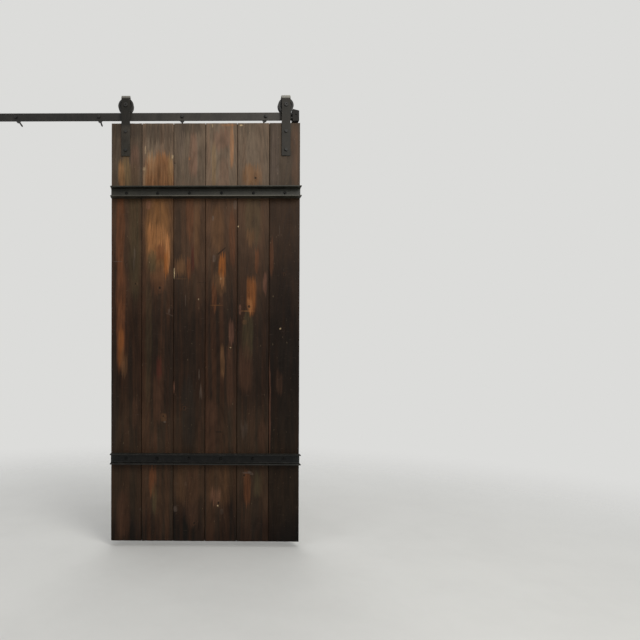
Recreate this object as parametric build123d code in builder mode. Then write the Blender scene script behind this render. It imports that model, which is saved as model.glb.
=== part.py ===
from build123d import *
import os
from math import sqrt

# A sliding barn door leaf of six planks, hung by two roller hangers on a flat rail.
# Millimetres. X runs along the rail, Y points into the wall and Z is up.
# The origin lies on the wall, behind the middle of the rail, on the rail's centre line.
# A depth is a distance in front of the wall. The door rests against its right end stop.

# Door leaf
door_width = 914.4
door_height = 2032.0
plank_thickness = 40.0
plank_count = 6
edge_trim = 6.3  # ripped off each of the two outer planks
seam_gap = 1.5  # open joint between two faces
seam_chamfer = 2.4  # each half of the V along a joint
back_chamfer = 1.0
end_chamfer = 1.5
tongue_depth = 9.0
tongue_thickness = 10.0
tongue_chamfer = 1.5
tongue_side_gap = 0.3
tongue_end_gap = 1.0

# Channels across the front of the leaf
channel_height = 50.0
channel_depth = 38.0
channel_wall = 5.0
channel_root_radius = 4.0
channel_lip_radius = 1.5
channel_heel_radius = 1.0
upper_channel_drop = 341.0  # from the top of the leaf to the channel's centre line
lower_channel_rise = 405.0  # from the bottom of the leaf to the channel's centre line

# Dome-head screws that hold the channels, one in each plank
screw_radius = 3.0
screw_head_radius = 7.0
screw_head_height = 4.5
screw_head_round = 3.4
screw_socket = 4.0  # across the flats
screw_socket_depth = 2.2
screw_cover = 9.0  # wood left behind the tip

# Rail
rail_height = 38.0
rail_thickness = 6.0
rail_hole_count = 5
rail_hole_spacing = 406.4
rail_end = 159.0  # from the last hole to the end
rail_chamfer = 0.8

# Standoffs and lag screws
standoff_length = 35.0
standoff_chamfer = 0.8
standoff_clearance = 1.8  # under a passing wheel flange
lag_radius = 4.0
lag_head_width = 13.0
lag_head_height = 5.3
lag_bite = 60.0  # length inside the wall
lag_thread_radius = 3.6
lag_tip = 9.0
lag_tip_radius = 1.2
washer_radius = 9.0
washer_thickness = 1.6

# Wheels
wheel_groove_radius = 31.0
flange_height = 6.5
flange_lip = 4.0  # thickness of a flange at its rim
flange_chamfer = 1.0
groove_clearance = 1.5  # beside the rail
groove_flare = 2.5
dish_depth = 3.0
dish_draft = 1.5
rim_wall = 3.0
hub_wall = 3.0
roll_gap = 0.3  # between the groove and the rail

# Ball bearings
bearing_width = 8.0
ring_wall = 2.5
ball_channel = 3.0  # between the two rings
ball_radius = 2.4
ball_count = 8
ball_gap = 0.06
bearing_shoulder = 1.8  # radial height of the step that the bearing seats on
shield_thickness = 0.5
shield_inset = 0.4
shield_gap = 0.25

# Bent-strap hangers
strap_width = 42.0
strap_thickness = 5.0
wheel_side_gap = 3.0  # between the wheel and a leg of the strap
crown_rise = 32.0  # from the axle to the centre of the bend
tail_drop = 21.0  # from the axle to the end of the rear leg
tail_radius = 14.0
toe_radius = 3.0
strap_edge_chamfer = 0.6
hanger_inset = 69.2  # from the side of the leaf
first_bolt_drop = 43.0  # below the top of the leaf
bolt_spacing = 89.0
last_bolt_margin = 29.0

# Strap bolts and barrel nuts
bolt_radius = 4.0
bolt_thread_radius = 3.7
bolt_head_width = 13.0
bolt_head_height = 5.3
bolt_tip_chamfer = 0.8
bolt_engagement = 14.0  # thread inside the barrel nut
thread_runout = 1.0  # beyond the tip of the bolt
barrel_radius = 5.5
barrel_length = 20.0
nut_flange_radius = 9.0
nut_flange_thickness = 2.2
nut_flange_round = 1.2

# Axle
axle_radius = 6.0
axle_head_radius = 10.0
axle_head_height = 4.0
axle_head_round = 1.8
axle_socket = 7.0  # across the flats
axle_socket_depth = 2.4
axle_nut_width = 18.0
axle_nut_thickness = 9.0
axle_tip = 2.0  # beyond the nut
sleeve_wall = 2.0

# Anti-jump discs on the top edge of the leaf
disc_radius = 18.0
disc_chamfer = 1.0
jump_gap = 5.0  # under the rail
disc_screw_radius = 2.5
disc_screw_head_radius = 5.0
disc_screw_head_depth = 3.0
disc_screw_cover = 7.0  # wood between its tip and the upper bolt hole

# End stops
stop_width = 32.0
stop_front_wall = 17.0
stop_back_wall = 8.0
stop_rise = 9.0  # above the rail, on the wheel's side
stop_slope = 8.0  # fall of its top towards the rail's end
stop_leaf_gap = 6.0  # above the leaf
stop_corner_radius = 2.5
stop_edge_chamfer = 0.8
stop_wheel_gap = 0.4
button_radius = 4.5
button_spacing = 18.5
button_margin = 1.5  # inside the stop's front face
button_offset = -4.0  # of the pair's middle from the rail's centre line
button_stem_radius = 2.5
button_stem_length = 7.0
button_round = 1.2
button_gap = 0.3
set_screw_radius = 3.0
set_screw_length = 14.0
set_screw_socket = 3.0  # across the flats
set_screw_socket_depth = 3.5

# Fits
leaf_gap = 17.0  # between the rail and the leaf
bolt_clearance = 0.3  # radial, round a bolt in its hole
screw_fit = 0.05  # radial, round a screw in its own thread
bearing_fit = 0.02  # radial, for rings on the axle and in the wheel
rail_fit = 0.25  # between the rail and the stop around it

# Worked out across the leaf
plank_width = (door_width + 2 * edge_trim) / plank_count

# Worked out across the wall's normal
rail_back = standoff_length
rail_front = rail_back + rail_thickness
wheel_depth = rail_back + rail_thickness / 2
wheel_thickness = rail_thickness + 2 * (groove_clearance + groove_flare + flange_lip)
fork_gap = wheel_thickness + 2 * wheel_side_gap
leaf_front = wheel_depth + fork_gap / 2
leaf_back = leaf_front - plank_thickness
leaf_middle = (leaf_front + leaf_back) / 2
strap_front = leaf_front + strap_thickness
tail_front = wheel_depth - fork_gap / 2
tail_back = tail_front - strap_thickness
stop_front = rail_front + stop_front_wall
stop_back = rail_back - stop_back_wall

# Worked out upwards
rail_top = rail_height / 2
flange_radius = wheel_groove_radius + flange_height
axle_level = rail_top + roll_gap + wheel_groove_radius
crown_level = axle_level + crown_rise
leaf_top = -rail_top - leaf_gap
leaf_bottom = leaf_top - door_height
channel_levels = (leaf_top - upper_channel_drop, leaf_bottom + lower_channel_rise)
bolt_levels = (leaf_top - first_bolt_drop, leaf_top - first_bolt_drop - bolt_spacing)
toe_level = bolt_levels[1] - last_bolt_margin
stop_top = rail_top + stop_rise
stop_bottom = leaf_top + stop_leaf_gap
standoff_radius = axle_level - flange_radius - standoff_clearance
disc_height = leaf_gap - jump_gap
disc_screw_bite = first_bolt_drop - barrel_radius - disc_screw_cover

# Worked out along the rail
rail_length = (rail_hole_count - 1) * rail_hole_spacing + 2 * rail_end
stop_face = rail_length / 2 - stop_width
hanger_offset = door_width / 2 - hanger_inset
wheel_reach = sqrt(flange_radius**2 - (axle_level - stop_top) ** 2) + stop_wheel_gap
button_reach = wheel_reach - strap_width / 2 - button_gap
leaf_centre = stop_face - wheel_reach - hanger_offset
hanger_places = (leaf_centre - hanger_offset, leaf_centre + hanger_offset)
hole_places = [(i - (rail_hole_count - 1) / 2) * rail_hole_spacing for i in range(rail_hole_count)]

# Worked out for the bearing
inner_land = axle_radius + ring_wall
outer_land = inner_land + ball_channel
ball_pitch = inner_land + ball_channel / 2
bearing_radius = outer_land + ring_wall
race_radius = ball_radius + ball_gap

sides = ("left", "right")


def save(piece, name):
    piece.part.label = name
    export_step(piece.part, f"parts/{name}.step")


def seam(index):
    # The x of the joint on the left of a plank, or of the leaf's side
    left = leaf_centre - door_width / 2
    if index == 0:
        return left
    if index == plank_count:
        return left + door_width
    return left + index * plank_width - edge_trim


def plank_centre(index):
    return (seam(index) + seam(index + 1)) / 2


def facing_out(x, depth, z):
    # A plane that faces the viewer
    return Plane(origin=(x, -depth, z), x_dir=(1, 0, 0), z_dir=(0, -1, 0))


def facing_wall(x, depth, z):
    # A plane that faces the wall
    return Plane(origin=(x, -depth, z), x_dir=(-1, 0, 0), z_dir=(0, 1, 0))


def axle_section(x):
    # A plane through an axle: its own x runs towards the viewer and its y is a radius
    return Plane(origin=(x, -wheel_depth, axle_level), x_dir=(0, -1, 0), z_dir=(-1, 0, 0))


def axle_axis(x):
    return Axis((x, -wheel_depth, axle_level), (0, -1, 0))


def copies(piece, planes):
    # One node that holds a copy of the piece at each plane
    with BuildPart() as group:
        with Locations(*planes):
            add(piece.part)
    return group


def make_hex_bolt(width, height, radius, shank, thread_radius, length, tip_radius, tip_length):
    # The seat of the head is on XY, the head above it, the plain shank and the thread below
    corner = width / sqrt(3)
    turned = (corner - width / 2) / sqrt(3)
    with BuildPart() as bolt:
        with BuildSketch():
            RegularPolygon(width / 2, 6, major_radius=False)
        extrude(amount=height)
        with BuildSketch(Plane.XZ):
            with BuildLine():
                Polyline(
                    (0, 0),
                    (corner, 0),
                    (corner, height - turned),
                    (width / 2, height),
                    (0, height),
                    close=True,
                )
            make_face()
        revolve(axis=Axis.Z, mode=Mode.INTERSECT)
        with BuildSketch(Plane.XZ):
            with BuildLine():
                Polyline(
                    (0, 0),
                    (radius, 0),
                    (radius, -shank),
                    (thread_radius, -shank),
                    (thread_radius, tip_length - length),
                    (tip_radius, -length),
                    (0, -length),
                    close=True,
                )
            make_face()
        revolve(axis=Axis.Z)
    return bolt


def make_dome_screw(head_radius, head_height, head_round, socket, socket_depth, radius, length):
    # The seat of the head is on XY, the head above it and the shank below
    with BuildPart() as screw:
        with BuildSketch():
            Circle(head_radius)
        extrude(amount=head_height)
        fillet(screw.edges().sort_by(Axis.Z)[-1], head_round)
        with BuildSketch(Plane.XY.offset(head_height)):
            RegularPolygon(socket / 2, 6, major_radius=False)
        extrude(amount=-socket_depth, mode=Mode.SUBTRACT)
        with BuildSketch():
            Circle(radius)
        extrude(amount=-length)
    return screw


def make_rail():
    with BuildPart() as rail:
        with BuildSketch(Plane.XZ.offset(rail_back)):
            Rectangle(rail_length, rail_height)
        extrude(amount=rail_thickness)
        chamfer(rail.edges().filter_by(Axis.X), rail_chamfer)
        with Locations(*[facing_out(x, rail_front, 0) for x in hole_places]):
            Hole(lag_radius + bolt_clearance, rail_thickness)
    return rail


def make_standoff(x):
    with BuildPart() as standoff:
        with BuildSketch(Plane.XZ):
            with Locations((x, 0)):
                Circle(standoff_radius)
                Circle(lag_radius + bolt_clearance, mode=Mode.SUBTRACT)
        extrude(amount=standoff_length)
        rims = standoff.edges().filter_by(GeomType.CIRCLE).sort_by(SortBy.RADIUS)[-2:]
        chamfer(rims, standoff_chamfer)
    return standoff


def make_washer():
    with BuildPart() as washer:
        with BuildSketch():
            Circle(washer_radius)
            Circle(lag_radius + bolt_clearance, mode=Mode.SUBTRACT)
        extrude(amount=washer_thickness)
    return washer


def make_end_stop(side):
    # A saddle over the rail's end, higher on the wheel's side, seen from the front
    near = side * stop_face
    far = side * (stop_face + stop_width)
    with BuildPart() as stop:
        with BuildSketch(Plane.XZ.offset(stop_back)) as outline:
            with BuildLine():
                Polyline(
                    (near, stop_bottom),
                    (near, stop_top),
                    (far, stop_top - stop_slope),
                    (far, stop_bottom),
                    close=True,
                )
            make_face()
            fillet(outline.vertices(), stop_corner_radius)
        extrude(amount=stop_front - stop_back)
        front_edges = stop.faces().sort_by(Axis.Y)[0].edges()
        chamfer(front_edges, stop_edge_chamfer)
        with BuildSketch(Plane.XY.offset(stop_bottom)):
            with Locations(((near + far) / 2, -wheel_depth)):
                Rectangle(stop_width, rail_thickness + 2 * rail_fit)
        extrude(amount=rail_top + rail_fit - stop_bottom, mode=Mode.SUBTRACT)
        with Locations(facing_out((near + far) / 2, stop_front, 0)):
            Hole(set_screw_radius + screw_fit, stop_front_wall)
        with Locations(*button_planes(side)):
            Hole(button_stem_radius + screw_fit, button_stem_length)
    return stop


def button_planes(side):
    # The two button seats on the wheel's side of a stop, level with the edge of the strap
    depth = stop_front - button_margin - button_radius
    levels = (button_offset + button_spacing / 2, button_offset - button_spacing / 2)
    return [
        Plane(origin=(side * stop_face, -depth, z), x_dir=(0, 1, 0), z_dir=(-side, 0, 0))
        for z in levels
    ]


def make_button():
    # A rubber button: its stem is pressed into the stop
    with BuildPart() as button:
        with BuildSketch():
            Circle(button_radius)
        extrude(amount=button_reach)
        fillet(button.edges().sort_by(Axis.Z)[-1], button_round)
        with BuildSketch():
            Circle(button_stem_radius)
        extrude(amount=-button_stem_length)
    return button


def make_set_screw():
    # A headless screw with its tip on the rail
    with BuildPart() as screw:
        with BuildSketch():
            Circle(set_screw_radius)
        extrude(amount=set_screw_length)
        with BuildSketch(Plane.XY.offset(set_screw_length)):
            RegularPolygon(set_screw_socket / 2, 6, major_radius=False)
        extrude(amount=-set_screw_socket_depth, mode=Mode.SUBTRACT)
    return screw


def make_plank(index):
    left = seam(index) + (seam_gap / 2 if index > 0 else 0)
    right = seam(index + 1) - (seam_gap / 2 if index < plank_count - 1 else 0)
    with BuildPart() as plank:
        with BuildSketch(Plane.XY.offset(leaf_bottom)) as section:
            with Locations(((left + right) / 2, -leaf_middle)):
                Rectangle(right - left, plank_thickness)
            chamfer(section.vertices().group_by(Axis.Y)[0], seam_chamfer)
            chamfer(section.vertices().group_by(Axis.Y)[-1], back_chamfer)
            if index < plank_count - 1:
                with Locations((right, -leaf_middle)):
                    Rectangle(2 * (tongue_depth + seam_gap), tongue_thickness)
                tip = section.vertices().sort_by(Axis.X)[-2:]
                chamfer(tip, tongue_chamfer)
            if index > 0:
                groove_depth = tongue_depth + tongue_end_gap
                groove_height = tongue_thickness + 2 * tongue_side_gap
                with Locations((left, -leaf_middle)):
                    Rectangle(2 * groove_depth, groove_height, mode=Mode.SUBTRACT)
        extrude(amount=door_height)
        chamfer(plank.edges().filter_by(Axis.X).group_by(Axis.Y)[0], end_chamfer)
        screw_planes = [facing_out(plank_centre(index), leaf_front, z) for z in channel_levels]
        with Locations(*screw_planes):
            Hole(screw_radius + screw_fit, plank_thickness - screw_cover)
        for x in hanger_places:
            if left - barrel_radius < x < right + barrel_radius:
                cut_hanger_holes(x)
    return plank


def cut_hanger_holes(x):
    # Two stepped bolt holes from the back, and the screw hole of the disc in the top edge
    with Locations(*[facing_wall(x, leaf_back, z) for z in bolt_levels]):
        CounterBoreHole(
            bolt_radius + bolt_clearance,
            barrel_radius + bolt_clearance,
            barrel_length,
            plank_thickness,
        )
    with Locations((x, -leaf_middle, leaf_top)):
        Hole(disc_screw_radius + screw_fit, disc_screw_bite)


def make_channel(level):
    # The web lies on the planks and the flanges face the viewer
    with BuildPart() as channel:
        with BuildSketch(Plane.YZ.offset(leaf_centre - door_width / 2)) as section:
            with Locations((-leaf_front - channel_depth / 2, level)):
                Rectangle(channel_depth, channel_height)
            with Locations((-leaf_front - channel_wall - channel_depth / 2, level)):
                Rectangle(channel_depth, channel_height - 2 * channel_wall, mode=Mode.SUBTRACT)
            fillet(section.vertices().group_by(Axis.X)[1], channel_root_radius)
            fillet(section.vertices().group_by(Axis.X)[-1], channel_heel_radius)
            lips = section.vertices().group_by(Axis.X)[0].sort_by(Axis.Y)[1:3]
            fillet(lips, channel_lip_radius)
        extrude(amount=door_width)
        web = leaf_front + channel_wall
        with Locations(*[facing_out(plank_centre(i), web, level) for i in range(plank_count)]):
            Hole(screw_radius + bolt_clearance, channel_wall)
    return channel


def make_strap(x):
    # A flat bar bent over the wheel: a long leg down the front and a short one behind
    with BuildPart() as strap:
        with BuildSketch(Plane.YZ.offset(x - strap_width / 2)):
            with BuildLine():
                Line((-strap_front, toe_level), (-strap_front, crown_level))
                ThreePointArc(
                    (-strap_front, crown_level),
                    (-wheel_depth, crown_level + fork_gap / 2 + strap_thickness),
                    (-tail_back, crown_level),
                )
                Polyline(
                    (-tail_back, crown_level),
                    (-tail_back, axle_level - tail_drop),
                    (-tail_front, axle_level - tail_drop),
                    (-tail_front, crown_level),
                )
                ThreePointArc(
                    (-tail_front, crown_level),
                    (-wheel_depth, crown_level + fork_gap / 2),
                    (-leaf_front, crown_level),
                )
                Polyline(
                    (-leaf_front, crown_level),
                    (-leaf_front, toe_level),
                    (-strap_front, toe_level),
                )
            make_face()
        extrude(amount=strap_width)
        ends = strap.edges().filter_by(Axis.Y).group_by(Axis.Z)
        fillet(ends[0], toe_radius)
        fillet(ends[1], tail_radius)
        chamfer(strap.faces().filter_by(Axis.X).edges(), strap_edge_chamfer)
        with Locations(facing_out(x, strap_front, axle_level)):
            Hole(axle_radius + bearing_fit, strap_front - tail_back)
        with Locations(*[facing_out(x, strap_front, z) for z in bolt_levels]):
            Hole(bolt_radius + bolt_clearance, strap_thickness)
    return strap


def make_barrel_nut():
    # The flange is seated on XY and the barrel goes down into the wood
    with BuildPart() as nut:
        with BuildSketch():
            Circle(nut_flange_radius)
        extrude(amount=nut_flange_thickness)
        fillet(nut.edges().sort_by(Axis.Z)[-1], nut_flange_round)
        with BuildSketch():
            Circle(barrel_radius)
        extrude(amount=-barrel_length)
        with BuildSketch(Plane.XY.offset(-barrel_length)):
            Circle(bolt_thread_radius + screw_fit)
        extrude(amount=bolt_engagement + thread_runout, mode=Mode.SUBTRACT)
    return nut


def make_axle_bolt():
    length = strap_front - tail_back + axle_nut_thickness + axle_tip
    return make_dome_screw(
        axle_head_radius,
        axle_head_height,
        axle_head_round,
        axle_socket,
        axle_socket_depth,
        axle_radius,
        length,
    )


def make_axle_nut():
    # A nut seated on XY, with its face turned off at the corners
    corner = axle_nut_width / sqrt(3)
    turned = (corner - axle_nut_width / 2) / sqrt(3)
    with BuildPart() as nut:
        with BuildSketch():
            RegularPolygon(axle_nut_width / 2, 6, major_radius=False)
        extrude(amount=axle_nut_thickness)
        with BuildSketch(Plane.XZ):
            with BuildLine():
                Polyline(
                    (axle_radius + screw_fit, 0),
                    (corner, 0),
                    (corner, axle_nut_thickness - turned),
                    (axle_nut_width / 2, axle_nut_thickness),
                    (axle_radius + screw_fit, axle_nut_thickness),
                    close=True,
                )
            make_face()
        revolve(axis=Axis.Z, mode=Mode.INTERSECT)
    return nut


def make_axle_sleeve():
    with BuildPart() as sleeve:
        with BuildSketch():
            Circle(axle_radius + sleeve_wall)
            Circle(axle_radius + bearing_fit, mode=Mode.SUBTRACT)
        extrude(amount=(fork_gap - bearing_width) / 2)
    return sleeve


def make_wheel(x):
    # Half of the rim's section is mirrored, turned about the axle and bored for the bearing
    hub_radius = bearing_radius + hub_wall
    rim_radius = wheel_groove_radius - rim_wall
    half = wheel_thickness / 2
    floor = rail_thickness / 2 + groove_clearance
    with BuildPart() as wheel:
        with BuildSketch(axle_section(x)) as section:
            with BuildLine():
                Polyline(
                    (0, 0),
                    (half, 0),
                    (half, hub_radius),
                    (half - dish_depth, hub_radius + dish_draft),
                    (half - dish_depth, rim_radius - dish_draft),
                    (half, rim_radius),
                    (half, flange_radius),
                    (floor + groove_flare, flange_radius),
                    (floor, wheel_groove_radius),
                    (0, wheel_groove_radius),
                    close=True,
                )
            make_face()
            chamfer(section.vertices().group_by(Axis.Y)[-1], flange_chamfer)
            mirror(about=Plane.YZ)
        revolve(axis=axle_axis(x))
        with BuildSketch(facing_out(x, wheel_depth, axle_level)):
            Circle(bearing_radius - bearing_shoulder)
        extrude(amount=half, both=True, mode=Mode.SUBTRACT)
        with BuildSketch(facing_out(x, wheel_depth - bearing_width / 2, axle_level)):
            Circle(bearing_radius + bearing_fit)
        extrude(amount=half + bearing_width / 2, mode=Mode.SUBTRACT)
    return wheel


def make_ring(x, low, high):
    # A bearing ring between two radii, with the race of the balls turned into it
    with BuildPart() as ring:
        with BuildSketch(axle_section(x)):
            with Locations((0, (low + high) / 2)):
                Rectangle(bearing_width, high - low)
            with Locations((0, ball_pitch)):
                Circle(race_radius, mode=Mode.SUBTRACT)
        revolve(axis=axle_axis(x))
    return ring


def make_balls(x):
    with BuildPart() as balls:
        with Locations(facing_out(x, wheel_depth, axle_level)):
            with PolarLocations(ball_pitch, ball_count):
                Sphere(ball_radius)
    return balls


def make_shields(x):
    # Two thin rings that close the bearing, held by the outer ring
    offset = (bearing_width - shield_thickness) / 2 - shield_inset
    with BuildPart() as shields:
        with BuildSketch(axle_section(x)):
            radius = ball_pitch + shield_gap / 2
            with Locations((-offset, radius), (offset, radius)):
                Rectangle(shield_thickness, ball_channel - shield_gap)
        revolve(axis=axle_axis(x))
    return shields


def make_disc(x):
    with BuildPart() as disc:
        with BuildSketch(Plane.XY.offset(leaf_top)):
            with Locations((x, -leaf_middle)):
                Circle(disc_radius)
        extrude(amount=disc_height)
        chamfer(disc.edges().filter_by(GeomType.CIRCLE), disc_chamfer)
        with Locations((x, -leaf_middle, leaf_top + disc_height)):
            CounterBoreHole(
                disc_screw_radius + bolt_clearance,
                disc_screw_head_radius + bolt_clearance,
                disc_screw_head_depth + bolt_clearance,
                disc_height,
            )
    return disc


def make_disc_screw():
    # The head is seated on XY, in the disc's counterbore
    with BuildPart() as screw:
        with BuildSketch():
            Circle(disc_screw_head_radius)
        extrude(amount=disc_screw_head_depth)
        seat = disc_height - disc_screw_head_depth - bolt_clearance
        with BuildSketch():
            Circle(disc_screw_radius)
        extrude(amount=-(seat + disc_screw_bite))
    return screw


os.makedirs("parts", exist_ok=True)

# Track
save(make_rail(), "track_rail")
for i, x in enumerate(hole_places):
    save(make_standoff(x), f"standoff_{i + 1}")
lag_screw = make_hex_bolt(
    lag_head_width,
    lag_head_height,
    lag_radius,
    rail_front + washer_thickness,
    lag_thread_radius,
    rail_front + washer_thickness + lag_bite,
    lag_tip_radius,
    lag_tip,
)
lag_planes = [facing_out(x, rail_front + washer_thickness, 0) for x in hole_places]
save(copies(lag_screw, lag_planes), "rail_lag_screws")
washer_planes = [facing_out(x, rail_front, 0) for x in hole_places]
save(copies(make_washer(), washer_planes), "rail_washers")
stop_middle = stop_face + stop_width / 2
for side, name in zip((-1, 1), sides):
    save(make_end_stop(side), f"end_stop_{name}")
    save(copies(make_button(), button_planes(side)), f"stop_buttons_{name}")
set_screw_planes = [facing_out(side * stop_middle, rail_front, 0) for side in (-1, 1)]
save(copies(make_set_screw(), set_screw_planes), "stop_set_screws")

# Door leaf
for i in range(plank_count):
    save(make_plank(i), f"plank_{i + 1}")
channel_screw = make_dome_screw(
    screw_head_radius,
    screw_head_height,
    screw_head_round,
    screw_socket,
    screw_socket_depth,
    screw_radius,
    channel_wall + plank_thickness - screw_cover,
)
for level, name in zip(channel_levels, ("upper", "lower")):
    save(make_channel(level), f"channel_{name}")
    web = leaf_front + channel_wall
    screw_planes = [facing_out(plank_centre(i), web, level) for i in range(plank_count)]
    save(copies(channel_screw, screw_planes), f"channel_{name}_screws")

# Hangers and wheels
for x, name in zip(hanger_places, sides):
    save(make_strap(x), f"hanger_strap_{name}")
    save(make_wheel(x), f"wheel_{name}")
    save(make_ring(x, outer_land, bearing_radius), f"bearing_outer_ring_{name}")
    save(make_ring(x, axle_radius + bearing_fit, inner_land), f"bearing_inner_ring_{name}")
    save(make_balls(x), f"bearing_balls_{name}")
    save(make_shields(x), f"bearing_shields_{name}")
    save(make_disc(x), f"anti_jump_disc_{name}")
bolt_planes = [facing_out(x, strap_front, z) for x in hanger_places for z in bolt_levels]
bolt_shank = strap_thickness + plank_thickness - barrel_length
strap_bolt = make_hex_bolt(
    bolt_head_width,
    bolt_head_height,
    bolt_radius,
    bolt_shank,
    bolt_thread_radius,
    bolt_shank + bolt_engagement,
    bolt_thread_radius - bolt_tip_chamfer,
    bolt_tip_chamfer,
)
save(copies(strap_bolt, bolt_planes), "strap_bolts")
nut_planes = [facing_wall(x, leaf_back, z) for x in hanger_places for z in bolt_levels]
save(copies(make_barrel_nut(), nut_planes), "strap_barrel_nuts")
axle_planes = [facing_out(x, strap_front, axle_level) for x in hanger_places]
save(copies(make_axle_bolt(), axle_planes), "axle_bolts")
axle_nut_planes = [facing_wall(x, tail_back, axle_level) for x in hanger_places]
save(copies(make_axle_nut(), axle_nut_planes), "axle_nuts")
front_sleeves = [facing_out(x, wheel_depth + bearing_width / 2, axle_level) for x in hanger_places]
back_sleeves = [facing_wall(x, wheel_depth - bearing_width / 2, axle_level) for x in hanger_places]
save(copies(make_axle_sleeve(), front_sleeves + back_sleeves), "axle_sleeves")
disc_screw_level = leaf_top + disc_height - disc_screw_head_depth - bolt_clearance
disc_screw_planes = [Plane((x, -leaf_middle, disc_screw_level)) for x in hanger_places]
save(copies(make_disc_screw(), disc_screw_planes), "disc_screws")
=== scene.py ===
import math
import random

import bmesh
import bpy
from mathutils import Color, Matrix, Vector, noise


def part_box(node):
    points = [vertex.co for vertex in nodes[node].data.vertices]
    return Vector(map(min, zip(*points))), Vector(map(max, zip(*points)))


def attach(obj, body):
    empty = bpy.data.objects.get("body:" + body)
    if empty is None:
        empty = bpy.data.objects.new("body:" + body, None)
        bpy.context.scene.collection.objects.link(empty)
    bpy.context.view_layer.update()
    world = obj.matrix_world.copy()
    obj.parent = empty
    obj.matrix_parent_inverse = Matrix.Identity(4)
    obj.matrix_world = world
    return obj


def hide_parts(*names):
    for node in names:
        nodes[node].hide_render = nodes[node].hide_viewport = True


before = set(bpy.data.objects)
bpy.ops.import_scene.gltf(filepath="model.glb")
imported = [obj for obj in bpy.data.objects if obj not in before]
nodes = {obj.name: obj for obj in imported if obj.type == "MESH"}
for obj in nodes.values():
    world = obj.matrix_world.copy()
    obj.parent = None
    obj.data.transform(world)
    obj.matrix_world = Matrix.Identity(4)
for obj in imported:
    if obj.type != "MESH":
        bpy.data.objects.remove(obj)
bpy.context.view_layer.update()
scene = bpy.context.scene
print("frame loaded")

cameraSetup = {
    "place": (0.4512, -2.4751, -1.2043),
    "lens": 28.04,
    "sensor": 36.0,
    "nearest": 0.05,
    "lookDown": 0.32,  # degrees
    "turnLeft": 0.68,
    "roll": -0.14,
    "shift": (0.2113, 0.073),
}


def makeCamera(setup):
    data = bpy.data.cameras.new("camera")
    data.lens = setup["lens"]
    data.sensor_width = setup["sensor"]
    data.shift_x, data.shift_y = setup["shift"]
    data.clip_start = setup["nearest"]
    camera = bpy.data.objects.new("camera", data)
    camera.location = setup["place"]
    angles = (90 - setup["lookDown"], setup["roll"], setup["turnLeft"])
    camera.rotation_euler = [math.radians(angle) for angle in angles]
    scene.collection.objects.link(camera)
    scene.camera = camera


makeCamera(cameraSetup)
scene.view_settings.view_transform = "Standard"


# Helpers for node trees
def fromHex(code):
    channels = [int(code[i:i + 2], 16) / 255 for i in (1, 3, 5)]
    return (*Color(channels).from_srgb_to_scene_linear(), 1.0)


def setInput(socket, value):
    if isinstance(value, bpy.types.NodeSocket):
        socket.id_data.links.new(value, socket)
    else:
        socket.default_value = value


def addNode(tree, kind, inputs=None, **settings):
    node = tree.nodes.new("ShaderNode" + kind)
    for name, value in settings.items():
        setattr(node, name, value)
    for key, value in (inputs or {}).items():
        setInput(node.inputs[key], value)
    return node


def joinNode(kind, inputs, **settings):
    # A node in the tree that its linked inputs come from
    linked = [value for value in inputs.values() if isinstance(value, bpy.types.NodeSocket)]
    return addNode(linked[0].id_data, kind, inputs, **settings)


def maths(operation, a, b=0.0, c=0.0, clamp=False):
    return joinNode("Math", {0: a, 1: b, 2: c}, operation=operation, use_clamp=clamp).outputs[0]


def timesPlus(a, b, c):
    return maths("MULTIPLY_ADD", a, b, c)


def times(value, *factors):
    for factor in factors:
        value = maths("MULTIPLY", value, factor)
    return value


def vectorMaths(operation, a, b=(0, 0, 0)):
    node = joinNode("VectorMath", {0: a, 1: b}, operation=operation)
    return node.outputs["Value" if operation in ("LENGTH", "DOT_PRODUCT") else "Vector"]


def split(vector):
    return joinNode("SeparateXYZ", {0: vector}).outputs


def ramp(value, low, high, start=0.0, end=1.0):
    inputs = {0: value, 1: low, 2: high, 3: start, 4: end}
    return joinNode("MapRange", inputs, interpolation_type="SMOOTHSTEP").outputs[0]


def blend(factor, a, b, mode="MIX"):
    return joinNode("Mix", {0: factor, 6: a, 7: b}, data_type="RGBA", blend_type=mode).outputs[2]


def stretchedNoise(vector, looks):
    # The scale is in cycles a metre along each axis
    inputs = {
        "Vector": vectorMaths("MULTIPLY", vector, looks["scale"]),
        "Scale": 1.0,
        "Detail": looks.get("detail", 3),
        "Roughness": looks.get("roughness", 0.55),
    }
    return joinNode("TexNoise", inputs).outputs[0]


def swing(vector, looks, middle=0.0):
    # Noise about a middle value, as wide as "by"
    wide = looks["by"]
    return timesPlus(stretchedNoise(vector, looks), wide, middle - wide / 2)


def pattern(vector, looks):
    # Noise made into a mask between two of its levels
    gives = looks.get("gives", (0.0, 1.0))
    return ramp(stretchedNoise(vector, looks), *looks["between"], *gives)


def newGroup(name, inputs, outputs):
    tree = bpy.data.node_groups.new(name, "ShaderNodeTree")
    kinds = {"value": "NodeSocketFloat", "vector": "NodeSocketVector", "colour": "NodeSocketColor"}
    for title, kind in inputs.items():
        tree.interface.new_socket(name=title, in_out="INPUT", socket_type=kinds[kind])
    for title, kind in outputs.items():
        tree.interface.new_socket(name=title, in_out="OUTPUT", socket_type=kinds[kind])
    return tree, tree.nodes.new("NodeGroupInput").outputs, tree.nodes.new("NodeGroupOutput").inputs


def useGroup(group, inputs):
    return joinNode("Group", inputs, node_tree=group).outputs


def newMaterial(name):
    material = bpy.data.materials.new(name)
    material.use_nodes = True
    tree = material.node_tree
    place = addNode(tree, "TexCoord").outputs["Object"]
    return material, tree.nodes["Principled BSDF"], place


def finishSurface(shader, colour, rough, height, bump):
    # The bump is given as its strength and its depth in metres
    inputs = {"Strength": bump[0], "Distance": bump[1], "Height": height}
    normal = joinNode("Bump", inputs).outputs[0]
    for name, value in {"Base Color": colour, "Roughness": rough, "Normal": normal}.items():
        setInput(shader.inputs[name], value)


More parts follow.
